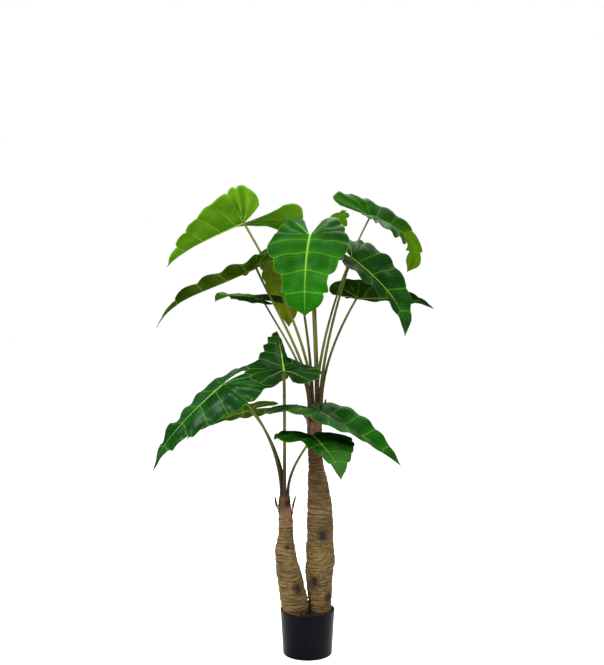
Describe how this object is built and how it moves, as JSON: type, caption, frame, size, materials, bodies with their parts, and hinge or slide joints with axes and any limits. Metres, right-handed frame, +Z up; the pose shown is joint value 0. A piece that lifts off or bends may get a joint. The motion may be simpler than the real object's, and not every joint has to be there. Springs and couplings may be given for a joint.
{
  "type": "artificial potted giant taro",
  "caption": "Artificial giant taro: arrow-shaped leaves on long stalks from two ringed trunks, standing in a round tapered planter pot.",
  "frame": {"origin": "centre of the planter's flat underside", "axes": "+Z up along the planter's axis, -Y towards the front of the plant, +X to the right seen from the front"},
  "size_m": [0.9256, 0.8505, 1.5052],
  "materials": {
    "pot": "satin black",
    "filler": "matte dark potting filler",
    "bark": "matte wrinkled bark",
    "petiole": "satin olive green, reddish brown low down",
    "blade": "glossy green with lime veins",
    "husk": "dry papery brown"
  },
  "bodies": {
    "root": {"pot": "pot", "potting_filler": "filler", "trunk_short": "bark", "trunk_tall": "bark", "blade_a": "blade", "blade_b": "blade", "blade_c": "blade", "blade_d": "blade", "blade_e": "blade", "blade_f": "blade", "blade_g": "blade", "blade_h": "blade", "blade_i": "blade", "blade_j": "blade", "blade_k": "blade", "blade_l": "blade", "blade_m": "blade", "blade_n": "blade", "petiole_a": "petiole", "petiole_b": "petiole", "petiole_c": "petiole", "petiole_d": "petiole", "petiole_e": "petiole", "petiole_f": "petiole", "petiole_g": "petiole", "petiole_h": "petiole", "petiole_i": "petiole", "petiole_j": "petiole", "petiole_k": "petiole", "petiole_l": "petiole", "petiole_m": "petiole", "petiole_n": "petiole", "husk_short_front": "husk", "husk_short_left": "husk", "husk_short_right": "husk", "husk_tall_front": "husk", "husk_tall_left": "husk", "husk_tall_right": "husk"}
  },
  "joints": []
}
